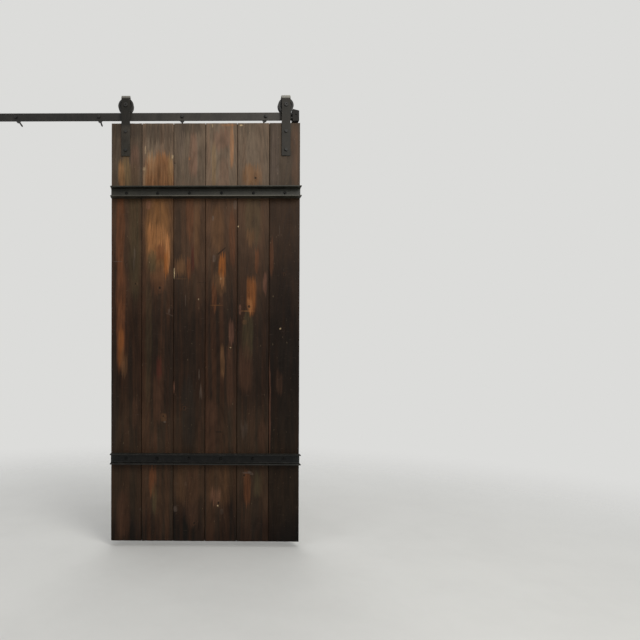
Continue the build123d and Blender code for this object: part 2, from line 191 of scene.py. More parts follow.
def addObject(bm, name, material):
    mesh = bpy.data.meshes.new(name)
    bm.to_mesh(mesh)
    bm.free()
    mesh.materials.append(material)
    made = bpy.data.objects.new(name, mesh)
    scene.collection.objects.link(made)
    return made


# Floor, a pale disc that fades out into the background
floorLooks = {
    "level": -2.095,
    "radius": 6.0,
    "sides": 96,
    "middle": (0.5, -0.9, 0),
    "fade": (1.2, 4.2),
    "colour": "#d0d0cd",
    "stain": "#cbcbc8",
    "cloud": {"scale": (2.2, 2.2, 2.2), "detail": 8, "roughness": 0.65, "between": (0.35, 0.75)},
    "roughness": 0.75,
}


def makeFloor(looks):
    bm = bmesh.new()
    bmesh.ops.create_circle(bm, cap_ends=True, segments=looks["sides"], radius=looks["radius"])
    bmesh.ops.translate(bm, verts=bm.verts, vec=(0, 0, looks["level"]))
    material, shader, place = newMaterial("floor")
    tree = material.node_tree
    cloud = pattern(place, looks["cloud"])
    colour = blend(cloud, fromHex(looks["colour"]), fromHex(looks["stain"]))
    setInput(shader.inputs["Base Color"], colour)
    shader.inputs["Roughness"].default_value = looks["roughness"]
    away = vectorMaths("SUBTRACT", place, looks["middle"])
    reach = vectorMaths("LENGTH", vectorMaths("MULTIPLY", away, (1, 1, 0)))
    clear = addNode(tree, "BsdfTransparent").outputs[0]
    faded = ramp(reach, *looks["fade"])
    shown = addNode(tree, "MixShader", {0: faded, 1: shader.outputs[0], 2: clear}).outputs[0]
    setInput(tree.nodes["Material Output"].inputs["Surface"], shown)
    floor = addObject(bm, "floor", material)


makeFloor(floorLooks)

# Light: a pale room, a large soft lamp up on the right, weak ones on the left and behind, one overhead
roomLight = {"backdrop": "#dcdcda", "fill": "#ffffff", "fillStrength": 0.42}
lamps = {
    "key": {
        "place": (2.6, -3.2, 1.2), "aim": (0.45, 0, -0.7), "size": 2.4, "power": 95, "tint": "#fffdf8",
    },
    "side": {
        "place": (-2.6, -2.6, 0.2), "aim": (0.45, 0, -0.9), "size": 2.0, "power": 20, "tint": "#fbfcff",
    },
    "back": {
        "place": (0.6, 3.0, 1.8), "aim": (0.45, 0, -0.7), "size": 2.4, "power": 26, "tint": "#ffffff",
    },
    "top": {
        "place": (0.6, -0.6, 3.4), "aim": (0.6, -0.6, 0), "size": 3.2, "power": 70, "tint": "#ffffff",
    },
}


def makeRoomLight(looks):
    # What the camera and reflections see is the backdrop, and the fill lights the rest
    world = bpy.data.worlds.new("studio")
    world.use_nodes = True
    scene.world = world
    tree = world.node_tree
    tree.nodes.clear()
    path = addNode(tree, "LightPath").outputs
    seen = maths("MAXIMUM", path["Is Camera Ray"], path["Is Glossy Ray"])
    seen = maths("MAXIMUM", seen, path["Is Transmission Ray"])
    colours = {"Color": fromHex(looks["fill"]), "Strength": looks["fillStrength"]}
    fill = addNode(tree, "Background", colours).outputs[0]
    backdrop = addNode(tree, "Background", {"Color": fromHex(looks["backdrop"])}).outputs[0]
    mixed = addNode(tree, "MixShader", {0: seen, 1: fill, 2: backdrop}).outputs[0]
    addNode(tree, "OutputWorld", {"Surface": mixed})


def makeLamp(name, looks):
    data = bpy.data.lights.new(name, "AREA")
    data.shape = "DISK"
    data.size = looks["size"]
    data.energy = looks["power"]
    data.color = fromHex(looks["tint"])[:3]
    lamp = bpy.data.objects.new(name, data)
    lamp.location = looks["place"]
    aim = Vector(looks["aim"]) - lamp.location
    lamp.rotation_euler = aim.to_track_quat("-Z", "Y").to_euler()
    scene.collection.objects.link(lamp)


makeRoomLight(roomLight)
for lampName, lampLooks in lamps.items():
    makeLamp(lampName, lampLooks)
print("camera, floor and light made")

# Shared effects
grainLooks = {
    "wander": {"scale": (2.5, 2.5, 1.4), "detail": 2, "by": 0.06},
    "wobble": {"scale": (30, 30, 3.5), "by": 0.006},
    "waver": {"scale": (5, 5, 3.2), "by": 0.05},
    "sharpness": 2.6,  # of the rings
    "Fibre": {"scale": (900, 900, 14), "detail": 5, "roughness": 0.60},
    "Streak": {"scale": (85, 85, 2.2), "detail": 5, "roughness": 0.65},
    "Cloud": {"scale": (9, 9, 2.6), "roughness": 0.50},
}
knotLooks = {
    "outline": {"scale": (140, 140, 90), "by": 0.9},
    "squash": (1, 0, 0.8),
    "core": (0.7, 1.1),  # in radii of the knot, as the next three are
    "rim": 1.15,
    "rimFade": (0.1, 0.4),
    "swirlFade": (1.2, 6.0),
    "swirls": 4.2,
    "swirlEdge": (0.1, 0.9),
    "broken": {"scale": (60, 60, 60), "between": (0.40, 0.60)},
    "pushSquash": (1, 0, 0.32),
    "pushReach": 2.6,
    "push": 1.4,
    "bend": 0.8,
}
rubLooks = {
    "samples": 4,
    "broken": {"scale": (160, 160, 160), "detail": 4, "between": (0.35, 0.70)},
    "agreement": (0.80, 0.99),  # of the rounded and the true normal
}
dustLooks = {
    "cloud": {"scale": (38, 38, 22), "detail": 6, "roughness": 0.65, "between": (0.40, 0.72)},
    "slope": (0.30, 0.95),  # how far up a face looks
    "thin": 0.5,
    "thick": 1.1,
}
paintLooks = {
    "cloud": {"scale": (16, 16, 9), "detail": 5, "between": (0.30, 0.75)},
    "peel": {"scale": (420, 420, 420), "detail": 2},
    "speck": {"scale": (240, 240, 240), "between": (0.64, 0.76)},
    "speckShade": 0.3,
    "roughness": 0.42,
    "cloudRoughness": 0.16,
    "speckRoughness": 0.12,
}


def makeGrainGroup(looks):
    # Growth rings about a trunk behind the plank, with fibres and long streaks along Z
    values = dict.fromkeys(["Lean", "Taper", "Spacing", "Push", "Bend"], "value")
    inputs = {"Vector": "vector", "Trunk": "vector", **values}
    outputs = dict.fromkeys(["Rings", "Fibre", "Streak", "Cloud"], "value")
    tree, given, results = newGroup("timberGrain", inputs, outputs)
    vector = given["Vector"]
    parts = split(vectorMaths("SUBTRACT", vector, given["Trunk"]))
    across = timesPlus(parts["Z"], given["Lean"], parts["X"])
    across = maths("ADD", across, swing(vector, looks["wander"]))
    square = timesPlus(parts["Y"], parts["Y"], times(across, across))
    radius = timesPlus(parts["Z"], given["Taper"], maths("SQRT", square))
    wobble = stretchedNoise(vector, looks["wobble"])
    radius = timesPlus(wobble, looks["wobble"]["by"], radius)
    radius = maths("ADD", radius, given["Push"])
    phase = maths("DIVIDE", radius, given["Spacing"])
    wave = maths("SINE", times(phase, 2 * math.pi))
    wave = timesPlus(wave, 0.5, 0.5)
    setInput(results["Rings"], maths("POWER", wave, looks["sharpness"]))
    waver = stretchedNoise(vector, looks["waver"])
    waver = timesPlus(waver, looks["waver"]["by"], given["Bend"])
    waver = joinNode("CombineXYZ", {0: waver}).outputs[0]
    bent = vectorMaths("SUBTRACT", vector, waver)
    for name, source in {"Fibre": bent, "Streak": bent, "Cloud": vector}.items():
        setInput(results[name], stretchedNoise(source, looks[name]))
    return tree


def makeKnotGroup(looks):
    # A small branch: a dark core, a ring round it and the rings of the trunk pushed aside
    inputs = {"Vector": "vector", "Centre": "vector", "Radius": "value"}
    outputs = dict.fromkeys(["Core", "Rim", "Swirl", "Push", "Bend"], "value")
    tree, given, results = newGroup("knot", inputs, outputs)
    vector, size = given["Vector"], given["Radius"]
    local = vectorMaths("SUBTRACT", vector, given["Centre"])
    reach = vectorMaths("LENGTH", vectorMaths("MULTIPLY", local, looks["squash"]))
    uneven = swing(vector, looks["outline"], 1.0)
    share = maths("DIVIDE", reach, times(size, uneven))
    setInput(results["Core"], ramp(share, *looks["core"], 1.0, 0.0))
    rim = maths("ABSOLUTE", maths("SUBTRACT", share, looks["rim"]))
    setInput(results["Rim"], ramp(rim, *looks["rimFade"], 1.0, 0.0))
    curl = maths("SINE", times(share, looks["swirls"]))
    curl = ramp(curl, *looks["swirlEdge"])
    faded = ramp(share, *looks["swirlFade"], 1.0, 0.0)
    broken = pattern(vector, looks["broken"])
    setInput(results["Swirl"], times(curl, faded, broken))
    away = vectorMaths("LENGTH", vectorMaths("MULTIPLY", local, looks["pushSquash"]))
    away = maths("DIVIDE", away, times(size, looks["pushReach"]))
    fall = maths("EXPONENT", times(away, away, -1.0))
    setInput(results["Bend"], times(split(local)["X"], fall, looks["bend"]))
    setInput(results["Push"], times(fall, size, looks["push"]))
    return tree


def makeEdgeGroup(looks):
    # Where an edge is near: the rounded normal leaves the true one
    inputs = {"Vector": "vector", "Radius": "value", "Breakup": "value"}
    tree, given, results = newGroup("edgeRub", inputs, {"Mask": "value"})
    rounded = addNode(tree, "Bevel", {"Radius": given["Radius"]}, samples=looks["samples"]).outputs[0]
    true = addNode(tree, "NewGeometry").outputs["True Normal"]
    along = vectorMaths("DOT_PRODUCT", rounded, true)
    broken = times(pattern(given["Vector"], looks["broken"]), given["Breakup"])
    found = ramp(along, *looks["agreement"], 1.0, 0.0)
    setInput(results["Mask"], maths("SUBTRACT", found, broken, clamp=True))
    return tree


def makeDustGroup(looks):
    # Fine dust that lies thicker on faces that look up
    inputs = {"Vector": "vector", "Lying": "value", "Hanging": "value"}
    tree, given, results = newGroup("fineDust", inputs, {"Mask": "value"})
    up = split(addNode(tree, "NewGeometry").outputs["Normal"])["Z"]
    cloud = pattern(given["Vector"], looks["cloud"])
    uneven = timesPlus(cloud, looks["thick"] - looks["thin"], looks["thin"])
    lying = times(ramp(up, *looks["slope"]), given["Lying"], uneven)
    hanging = times(cloud, given["Hanging"])
    setInput(results["Mask"], maths("ADD", lying, hanging, clamp=True))
    return tree


def makePaintGroup(looks):
    # Satin black paint: a little orange peel, soft clouds and fine specks
    inputs = {"Vector": "vector", "Dark": "colour", "Pale": "colour"}
    outputs = {"Color": "colour", "Roughness": "value", "Height": "value"}
    tree, given, results = newGroup("satinPaint", inputs, outputs)
    cloud = stretchedNoise(given["Vector"], looks["cloud"])
    speck = pattern(given["Vector"], looks["speck"])
    pale = ramp(cloud, *looks["cloud"]["between"])
    pale = timesPlus(speck, looks["speckShade"], pale)
    setInput(results["Color"], blend(pale, given["Dark"], given["Pale"]))
    rough = timesPlus(cloud, looks["cloudRoughness"], looks["roughness"])
    rough = timesPlus(speck, looks["speckRoughness"], rough)
    setInput(results["Roughness"], rough)
    setInput(results["Height"], stretchedNoise(given["Vector"], looks["peel"]))
    return tree


timberGrain = makeGrainGroup(grainLooks)
knotGroup = makeKnotGroup(knotLooks)
edgeRub = makeEdgeGroup(rubLooks)
fineDust = makeDustGroup(dustLooks)
satinPaint = makePaintGroup(paintLooks)

# Stained planks. A stroke is x and z of its middle on the leaf's face in metres, half its width, half its
# height, its tone and its strength. A scratch has its lean before the tone
woodTones = {
    "soot": "#17130f",
    "slate": "#221e1a",
    "olive": "#453c29",
    "umber": "#5c412b",
    "honey": "#75502f",
    "russet": "#402b1f",
    "rust": "#5e3923",
    "wine": "#45241b",
    "amber": "#9a6840",
    "flame": "#925525",
    "ochre": "#866a43",
    "rose": "#7b5443",
    "mist": "#5d5047",
    "bare": "#b39b78",
    "drift": "#594c3f",
    "hazel": "#4f3b2c",
    "walnut": "#443326",
    "bark": "#241a13",
    "loam": "#32271d",
    "char": "#201914",
}
# Down the leaf the wood darkens, partly stain and partly painted shade, darkest at the foot
leafStainAndShade = [
    (-2.07, "soot"), (-2.02, "char"), (-1.88, "loam"), (-1.60, "loam"), (-1.32, "bark"), (-1.00, "bark"),
    (-0.60, "walnut"), (-0.40, "hazel"),
]
plank1 = {
    "trunk": (0.120, 0.045, 0), "lean": 0.010, "taper": 0.035, "spacing": 0.0052,
    "above": 0.84, "below": 0.90, "warmth": 0.16,
    "strokes": [
        (0.130, -0.285, 0.030, 0.085, "ochre", 0.40), (0.112, -0.290, 0.014, 0.070, "amber", 0.35),
        (0.180, -0.250, 0.020, 0.110, "rose", 0.25), (0.178, -0.560, 0.028, 0.330, "olive", 0.50),
        (0.108, -0.580, 0.020, 0.240, "rust", 0.80), (0.112, -0.850, 0.022, 0.130, "rust", 0.60),
        (0.110, -1.060, 0.020, 0.170, "rust", 0.80), (0.112, -1.120, 0.014, 0.090, "flame", 0.32),
        (0.124, -1.200, 0.016, 0.060, "umber", 0.55), (0.176, -0.700, 0.005, 0.060, "mist", 0.35),
        (0.180, -1.450, 0.012, 0.080, "russet", 0.55), (0.124, -1.940, 0.030, 0.110, "russet", 0.65),
        (0.078, -1.350, 0.012, 0.300, "slate", 0.60), (0.140, -0.070, 0.075, 0.045, "slate", 0.50),
        (0.217, -1.914, 0.014, 0.006, "mist", 0.35),
    ],
    "knots": [((0.182, -0.815), 0.004)],
    "scratches": [(0.096, -0.707, 0.022, 0.0018, 0, "mist", 0.60)],
}
plank2 = {
    "trunk": (0.300, 0.060, 0), "lean": -0.008, "taper": 0.060, "spacing": 0.0060,
    "above": 1.10, "below": 1.00, "warmth": 0.20,
    "strokes": [
        (0.296, -0.300, 0.066, 0.115, "amber", 0.85), (0.302, -0.322, 0.060, 0.055, "amber", 1.00),
        (0.262, -0.230, 0.016, 0.060, "bare", 0.22), (0.229, -0.165, 0.003, 0.020, "bare", 0.45),
        (0.223, -0.258, 0.006, 0.008, "bare", 0.55), (0.240, -0.205, 0.003, 0.028, "bare", 0.35),
        (0.362, -0.199, 0.005, 0.009, "bare", 0.45), (0.350, -0.280, 0.010, 0.090, "ochre", 0.60),
        (0.228, -0.300, 0.006, 0.050, "bare", 0.30), (0.296, -0.500, 0.070, 0.300, "umber", 1.00),
        (0.292, -0.560, 0.052, 0.160, "honey", 0.80), (0.290, -0.610, 0.046, 0.080, "amber", 0.50),
        (0.252, -0.600, 0.008, 0.075, "amber", 0.70), (0.340, -0.665, 0.009, 0.090, "amber", 0.95),
        (0.330, -0.720, 0.012, 0.060, "flame", 0.60), (0.300, -0.660, 0.026, 0.040, "rust", 0.80),
        (0.262, -0.705, 0.020, 0.055, "olive", 0.75), (0.298, -0.800, 0.034, 0.060, "rust", 0.30),
        (0.345, -0.948, 0.004, 0.012, "mist", 0.40), (0.297, -1.235, 0.013, 0.060, "wine", 0.90),
        (0.292, -1.370, 0.022, 0.110, "russet", 0.80), (0.336, -1.250, 0.012, 0.250, "soot", 0.45),
        (0.320, -1.465, 0.014, 0.020, "umber", 0.50), (0.326, -1.487, 0.006, 0.004, "mist", 0.55),
        (0.272, -1.600, 0.018, 0.060, "russet", 0.60), (0.268, -1.775, 0.016, 0.070, "rust", 0.85),
        (0.276, -1.860, 0.012, 0.070, "olive", 0.60), (0.290, -0.080, 0.070, 0.050, "slate", 0.45),
        (0.245, -0.432, 0.012, 0.022, "rose", 0.45), (0.245, -1.100, 0.016, 0.300, "olive", 0.25),
    ],
    "knots": [((0.300, -0.834), 0.006), ((0.318, -1.459), 0.004)],
    "scratches": [(0.352, -0.966, 0.004, 0.010, 2.2, "mist", 0.45)],
}
plank3 = {
    "trunk": (0.480, 0.035, 0), "lean": 0.006, "taper": 0.045, "spacing": 0.0054,
    "above": 1.05, "below": 0.95, "warmth": 0.14,
    "strokes": [
        (0.462, -0.190, 0.020, 0.110, "rose", 0.35), (0.400, -0.120, 0.020, 0.090, "mist", 0.35),
        (0.443, -0.208, 0.004, 0.008, "amber", 0.60), (0.446, -0.480, 0.018, 0.130, "rust", 0.50),
        (0.480, -0.560, 0.014, 0.170, "umber", 0.55), (0.388, -0.640, 0.014, 0.220, "slate", 0.35),
        (0.400, -0.735, 0.026, 0.040, "umber", 0.85), (0.440, -0.735, 0.010, 0.050, "rust", 0.80),
        (0.460, -0.690, 0.008, 0.065, "wine", 0.90), (0.370, -0.765, 0.003, 0.026, "bare", 0.85),
        (0.488, -0.880, 0.007, 0.060, "russet", 0.60), (0.489, -0.890, 0.002, 0.005, "bare", 0.50),
        (0.370, -1.318, 0.003, 0.028, "rose", 0.60), (0.440, -1.440, 0.030, 0.170, "slate", 0.50),
        (0.440, -0.060, 0.070, 0.035, "slate", 0.45), (0.425, -0.880, 0.0015, 0.034, "mist", 0.60),
        (0.492, -1.255, 0.003, 0.026, "mist", 0.45), (0.427, -1.788, 0.004, 0.010, "mist", 0.55),
        (0.501, -1.342, 0.007, 0.030, "mist", 0.35), (0.495, -1.555, 0.006, 0.090, "russet", 0.75),
        (0.440, -1.770, 0.060, 0.120, "umber", 0.35), (0.458, -1.850, 0.034, 0.140, "russet", 0.60),
        (0.378, -1.911, 0.009, 0.014, "mist", 0.45),
    ],
    "knots": [((0.372, -0.230), 0.003), ((0.420, -1.420), 0.005), ((0.470, -1.979), 0.005)],
    "scratches": [
        (0.402, -0.791, 0.030, 0.0015, 0, "umber", 0.60),
        (0.500, -0.809, 0.020, 0.0015, 0, "soot", 0.50),
    ],
}
plank4 = {
    "trunk": (0.600, 0.070, 0), "lean": -0.012, "taper": 0.070, "spacing": 0.0064,
    "above": 1.15, "below": 0.97, "warmth": 0.2,
    "strokes": [
        (0.600, -0.110, 0.040, 0.050, "rose", 0.30), (0.554, -0.050, 0.003, 0.009, "bare", 0.70),
        (0.632, -0.047, 0.034, 0.006, "amber", 0.35), (0.648, -0.150, 0.010, 0.110, "amber", 0.50),
        (0.562, -0.260, 0.010, 0.130, "ochre", 0.35), (0.610, -0.290, 0.022, 0.080, "rose", 0.20),
        (0.580, -0.540, 0.028, 0.110, "umber", 0.65), (0.650, -0.600, 0.014, 0.130, "rust", 0.50),
        (0.602, -0.722, 0.018, 0.056, "flame", 0.75), (0.588, -0.810, 0.030, 0.055, "umber", 0.70),
        (0.602, -0.795, 0.010, 0.030, "amber", 0.45), (0.564, -0.880, 0.010, 0.065, "rust", 0.75),
        (0.646, -1.055, 0.013, 0.055, "rose", 0.40), (0.606, -1.190, 0.010, 0.080, "umber", 0.85),
        (0.642, -1.260, 0.018, 0.150, "russet", 0.95), (0.552, -1.510, 0.036, 0.140, "russet", 0.80),
        (0.590, -1.534, 0.016, 0.004, "soot", 0.60), (0.600, -1.770, 0.060, 0.120, "umber", 0.35),
        (0.575, -1.850, 0.024, 0.035, "rose", 0.30), (0.622, -1.770, 0.006, 0.060, "umber", 0.40),
        (0.585, -1.894, 0.003, 0.004, "bare", 0.90), (0.604, -1.922, 0.008, 0.014, "mist", 0.22),
        (0.557, -0.497, 0.005, 0.012, "mist", 0.55), (0.665, -0.432, 0.009, 0.022, "mist", 0.45),
        (0.563, -0.692, 0.008, 0.018, "mist", 0.40), (0.597, -0.790, 0.003, 0.005, "bare", 0.35),
        (0.514, -0.989, 0.006, 0.020, "mist", 0.30), (0.644, -1.125, 0.0035, 0.003, "bare", 0.70),
    ],
    "knots": [((0.588, -1.880), 0.005), ((0.640, -1.128), 0.004)],
    "scratches": [
        (0.5985, -0.657, 0.0045, 0.018, -1.1, "soot", 0.90),
        (0.576, -0.919, 0.028, 0.0022, 0.2, "honey", 0.40),
    ],
}
plank5 = {
    "trunk": (0.760, 0.050, 0), "lean": 0.010, "taper": 0.050, "spacing": 0.0056,
    "above": 1.09, "below": 0.96, "warmth": 0.14,
    "strokes": [
        (0.745, -0.295, 0.044, 0.055, "honey", 0.60), (0.752, -0.480, 0.040, 0.140, "olive", 0.50),
        (0.740, -0.590, 0.022, 0.036, "umber", 0.70), (0.770, -0.695, 0.009, 0.060, "rust", 0.75),
        (0.744, -0.870, 0.022, 0.090, "flame", 0.42), (0.738, -0.915, 0.014, 0.035, "amber", 0.45),
        (0.728, -1.070, 0.024, 0.120, "olive", 0.55), (0.811, -0.810, 0.010, 0.050, "rose", 0.38),
        (0.694, -0.048, 0.007, 0.004, "bare", 0.95), (0.680, -0.537, 0.003, 0.004, "bare", 1.00),
        (0.690, -0.940, 0.005, 0.025, "rose", 0.35), (0.716, -1.230, 0.032, 0.110, "russet", 0.70),
        (0.712, -1.521, 0.018, 0.035, "mist", 0.22), (0.800, -1.560, 0.020, 0.090, "russet", 0.55),
        (0.726, -1.800, 0.016, 0.080, "rust", 0.70), (0.724, -1.732, 0.018, 0.005, "mist", 0.60),
        (0.780, -1.790, 0.022, 0.060, "olive", 0.40), (0.712, -1.001, 0.010, 0.012, "umber", 0.50),
    ],
    "knots": [((0.763, -0.303), 0.005), ((0.712, -1.745), 0.005), ((0.734, -0.925), 0.006)],
    "scratches": [
        (0.727, -0.947, 0.032, 0.0028, 0.3, "amber", 0.30),
        (0.742, -1.733, 0.010, 0.010, 0.8, "mist", 0.50),
    ],
}
plank6 = {
    "trunk": (0.930, 0.055, 0), "lean": -0.006, "taper": 0.040, "spacing": 0.0050,
    "above": 0.78, "below": 0.70, "warmth": 0.1,
    "strokes": [
        (0.955, -0.200, 0.020, 0.160, "rust", 0.25), (0.856, -0.190, 0.022, 0.170, "mist", 0.40),
        (0.870, -0.267, 0.003, 0.022, "mist", 0.70), (0.842, -0.690, 0.009, 0.090, "rust", 0.45),
        (0.835, -1.400, 0.004, 0.230, "rose", 0.35), (0.925, -1.330, 0.052, 0.280, "soot", 0.60),
        (0.885, -1.032, 0.004, 0.004, "bare", 0.70), (0.880, -1.290, 0.016, 0.060, "russet", 0.45),
    ],
    "knots": [((0.905, -0.770), 0.004)],
    "scratches": [(0.880, -0.560, 0.0012, 0.030, 0.05, "mist", 0.40)],
}
plankLooks = [plank1, plank2, plank3, plank4, plank5, plank6]

# How the strokes and the stain lie. Scales are in cycles a metre
strokeShape = {
    "ends": 4.0,
    "fade": (0.3, 1.7),
    "small": 0.03,  # marks of less half height are chipped instead of brushed
    "drift": {"scale": (30, 30, 8), "detail": 2, "by": 0.018},
    "fray": {"scale": (240, 240, 3), "roughness": 0.60, "by": 0.15},
    "ragged": {"scale": (170, 170, 120), "detail": 4, "roughness": 0.65, "by": 0.009},
    "patchy": {"scale": (150, 150, 5), "detail": 4, "between": (0.25, 0.62), "gives": (0.45, 1.00)},
    "chipped": {"scale": (420, 420, 110), "detail": 4, "between": (0.36, 0.52), "gives": (0.30, 1.00)},
}
stainPatterns = {
    "warm": {"scale": (45, 45, 1.6), "between": (0.36, 0.66)},
    "cool": {"scale": (60, 20, 2.4), "between": (0.50, 0.74)},
    "behind": {"scale": (16, 5, 2.4), "detail": 4, "between": (0.52, 0.68)},
    "mottle": {"scale": (24, 24, 9), "detail": 5, "roughness": 0.60, "between": (0.32, 0.68)},
    "bands": {"scale": (36, 36, 0.8), "detail": 2, "between": (0.30, 0.70)},
    "specks": {"scale": (150, 150, 55), "roughness": 0.70, "between": (0.69, 0.76)},
    "nicks": {"scale": (26, 26, 420), "detail": 2, "roughness": 0.60, "between": (0.68, 0.74)},
}
woodFinish = {
    "shift": (3.7, 1.3, 5.1),  # in metres, from one plank's pattern to the next
    "face": (-0.050, -0.040),
    # where the paler stretch of dust and painted sheen starts, above the upper channel
    "dustAndSheenAboveChannel": (-0.410, -0.345),
    "fadeHeight": 2.1,
    "fadeWander": 0.5,
    "backFade": 0.6,
    "behind": 0.55,
    "behindFade": 0.2,
    "cool": 0.20,
    "gamma": 2.2,
    "streakSpan": (0.28, 0.72),
    "shade": {"mottle": 0.34, "streaks": 0.24, "bands": 0.12, "rings": -0.14, "fibre": 0.24},
    "darkest": 0.58,
    "knots": {"Swirl": ("rust", 0.30), "Rim": ("umber", 0.20), "Core": ("soot", 0.80)},
    "flecks": {"specks": ("bare", 0.40), "nicks": ("mist", 0.30)},
    "rub": {"reach": 0.0018, "breakup": 1.1, "share": 0.35},
    "roughness": 0.42,
    "streakRoughness": 0.22,
    "ringRoughness": -0.08,
    "ringRelief": 0.5,
    "knotRelief": -0.8,
    "bump": (0.45, 0.0005),
    "gloss": 0.08,
}
strokeInputs = ["Front", "Across", "Along", "Centre X", "Centre Z", "Half Width", "Half Height", "Lean"]


def makeStrokeGroup(looks):
    # One stroke of worn stain: soft sides, and narrower ends that fray along the grain
    inputs = dict.fromkeys(strokeInputs, "value")
    tree, given, results = newGroup("stainStroke", inputs, {"Mask": "value"})
    side = maths("SUBTRACT", given["Across"], given["Centre X"])
    rise = maths("SUBTRACT", given["Along"], given["Centre Z"])
    side = timesPlus(rise, given["Lean"], side)
    side = maths("DIVIDE", side, given["Half Width"])
    ends = maths("ABSOLUTE", maths("DIVIDE", rise, given["Half Height"]))
    ends = maths("POWER", ends, looks["ends"])
    reach = timesPlus(side, side, ends)
    mask = times(ramp(reach, *looks["fade"], 1.0, 0.0), given["Front"])
    setInput(results["Mask"], mask)
    return tree


stainStroke = makeStrokeGroup(strokeShape)


def strokeMask(ground, centre, half, lean=0.0):
    # The ground is how much of the face takes the stroke, and the places across and along it
    values = zip(strokeInputs, (*ground, *centre, *half, lean))
    return useGroup(stainStroke, dict(values))["Mask"]


def stained(tone, mask, name, share=1.0):
    return blend(times(mask, share), tone, fromHex(woodTones[name]))


def darkened(tone, value):
    grey = joinNode("CombineColor", {0: value, 1: value, 2: value}).outputs[0]
    return blend(1.0, tone, grey, "MULTIPLY")


def layMarks(tone, marks, brushed, chipped, small):
    for x, z, width, rise, *lean, name, share in marks:
        ground = chipped if rise < small else brushed
        mask = strokeMask(ground, (x, z), (width, rise), *lean)
        tone = stained(tone, mask, name, share)
    return tone


def stainAndShadeFade(height, span):
    # The colour darkens down the leaf, partly stain and partly painted shade, and is darkest at the foot
    fade = joinNode("ValToRGB", {0: timesPlus(height, 1 / span, 1.0)})
    stops = fade.color_ramp.elements
    while len(stops) < len(leafStainAndShade):
        stops.new(1.0)
    for stop, (level, name) in zip(stops, leafStainAndShade):
        stop.position = 1 + level / span
        stop.color = fromHex(woodTones[name])
    return fade.outputs[0]


def makePlankMaterial(index, looks, finish):
    material, shader, place = newMaterial(f"stainedPine{index + 1}")
    offset = [index * step for step in finish["shift"]]
    sample = vectorMaths("ADD", place, offset)
    cover = {name: pattern(sample, values) for name, values in stainPatterns.items()}
    knots = {}
    for (x, z), radius in looks["knots"]:
        knot = useGroup(knotGroup, {"Vector": place, "Centre": (x, 0, z), "Radius": radius})
        for name in knot.keys():
            joined = "ADD" if name in ("Push", "Bend") else "MAXIMUM"
            knots[name] = maths(joined, knots.get(name, 0.0), knot[name])
    grain = useGroup(timberGrain, {
        "Vector": sample,
        "Trunk": [a + b for a, b in zip(looks["trunk"], offset)],
        "Lean": looks["lean"],
        "Taper": looks["taper"],
        "Spacing": looks["spacing"],
        "Push": knots["Push"],
        "Bend": knots["Bend"],
    })
    parts = split(place)
    height = parts["Z"]
    front = ramp(parts["Y"], *finish["face"], 1.0, 0.0)
    # Darkening down the leaf as stain and painted shade, a paler greyer stretch above the upper channel
    # that is partly dust and partly painted sheen, with the channel's painted shadow below it, and the
    # plank's own take of the stain
    wander = finish["fadeWander"]
    uneven = timesPlus(grain["Cloud"], wander, maths("SUBTRACT", height, wander / 2))
    above = times(ramp(height, *finish["dustAndSheenAboveChannel"]), front)
    tone = stainAndShadeFade(uneven, finish["fadeHeight"])
    tone = stained(tone, ramp(front, 0.0, 1.0, 1.0, 0.0), "walnut", finish["backFade"])
    # Painted sheen, partly dust: the greyer drift tone above the upper channel
    tone = stained(tone, above, "drift")
    tone = stained(tone, cover["warm"], "rust", looks["warmth"])
    tone = stained(tone, cover["cool"], "slate", finish["cool"])
    takes = [looks[part] ** finish["gamma"] for part in ("below", "above")]
    tone = darkened(tone, ramp(above, 0.0, 1.0, *takes))
    # Strokes wander a little to the sides, and their ends run out along the fibres
    across = maths("ADD", parts["X"], swing(sample, strokeShape["drift"]))
    along = maths("ADD", height, swing(sample, strokeShape["fray"]))
    patchy = pattern(sample, strokeShape["patchy"])
    brushed = (times(front, patchy), across, along)
    # Small marks have ragged outlines and are chipped
    across = maths("ADD", parts["X"], swing(sample, strokeShape["ragged"]))
    chipped = (times(front, pattern(sample, strokeShape["chipped"])), across, height)
    tone = layMarks(tone, looks["strokes"], brushed, chipped, strokeShape["small"])
    # The back has worn patches of its own
    back = ramp(front, 0.0, finish["behindFade"], 1.0, 0.0)
    behind = times(cover["behind"], patchy, back)
    tone = stained(tone, behind, "umber", finish["behind"])
    # Grain: soft mottle, streaks, bands, rings and fibres
    streaks = ramp(grain["Streak"], *finish["streakSpan"])
    sources = {"streaks": streaks, "rings": grain["Rings"], "fibre": grain["Fibre"], **cover}
    shade = finish["darkest"]
    for name, share in finish["shade"].items():
        shade = timesPlus(sources[name], share, shade)
    tone = darkened(tone, shade)
    # Knots, scratches, flecks and rubbed edges
    for name, (toneName, share) in finish["knots"].items():
        tone = stained(tone, knots[name], toneName, share)
    tone = layMarks(tone, looks["scratches"], chipped, chipped, strokeShape["small"])
    for name, (toneName, share) in finish["flecks"].items():
        tone = stained(tone, cover[name], toneName, share)
    edges = {"Vector": place, "Radius": finish["rub"]["reach"], "Breakup": finish["rub"]["breakup"]}
    rub = useGroup(edgeRub, edges)["Mask"]
    tone = stained(tone, rub, "umber", finish["rub"]["share"])
    rough = timesPlus(grain["Streak"], finish["streakRoughness"], finish["roughness"])
    rough = timesPlus(grain["Rings"], finish["ringRoughness"], rough)
    relief = timesPlus(grain["Rings"], finish["ringRelief"], grain["Fibre"])
    relief = timesPlus(knots["Core"], finish["knotRelief"], relief)
    finishSurface(shader, tone, rough, relief, finish["bump"])
    shader.inputs["Specular IOR Level"].default_value = finish["gloss"]
    return material


def dress(names, material):
    for name in names:
        materials = nodes[name].data.materials
        materials.clear()
        materials.append(material)


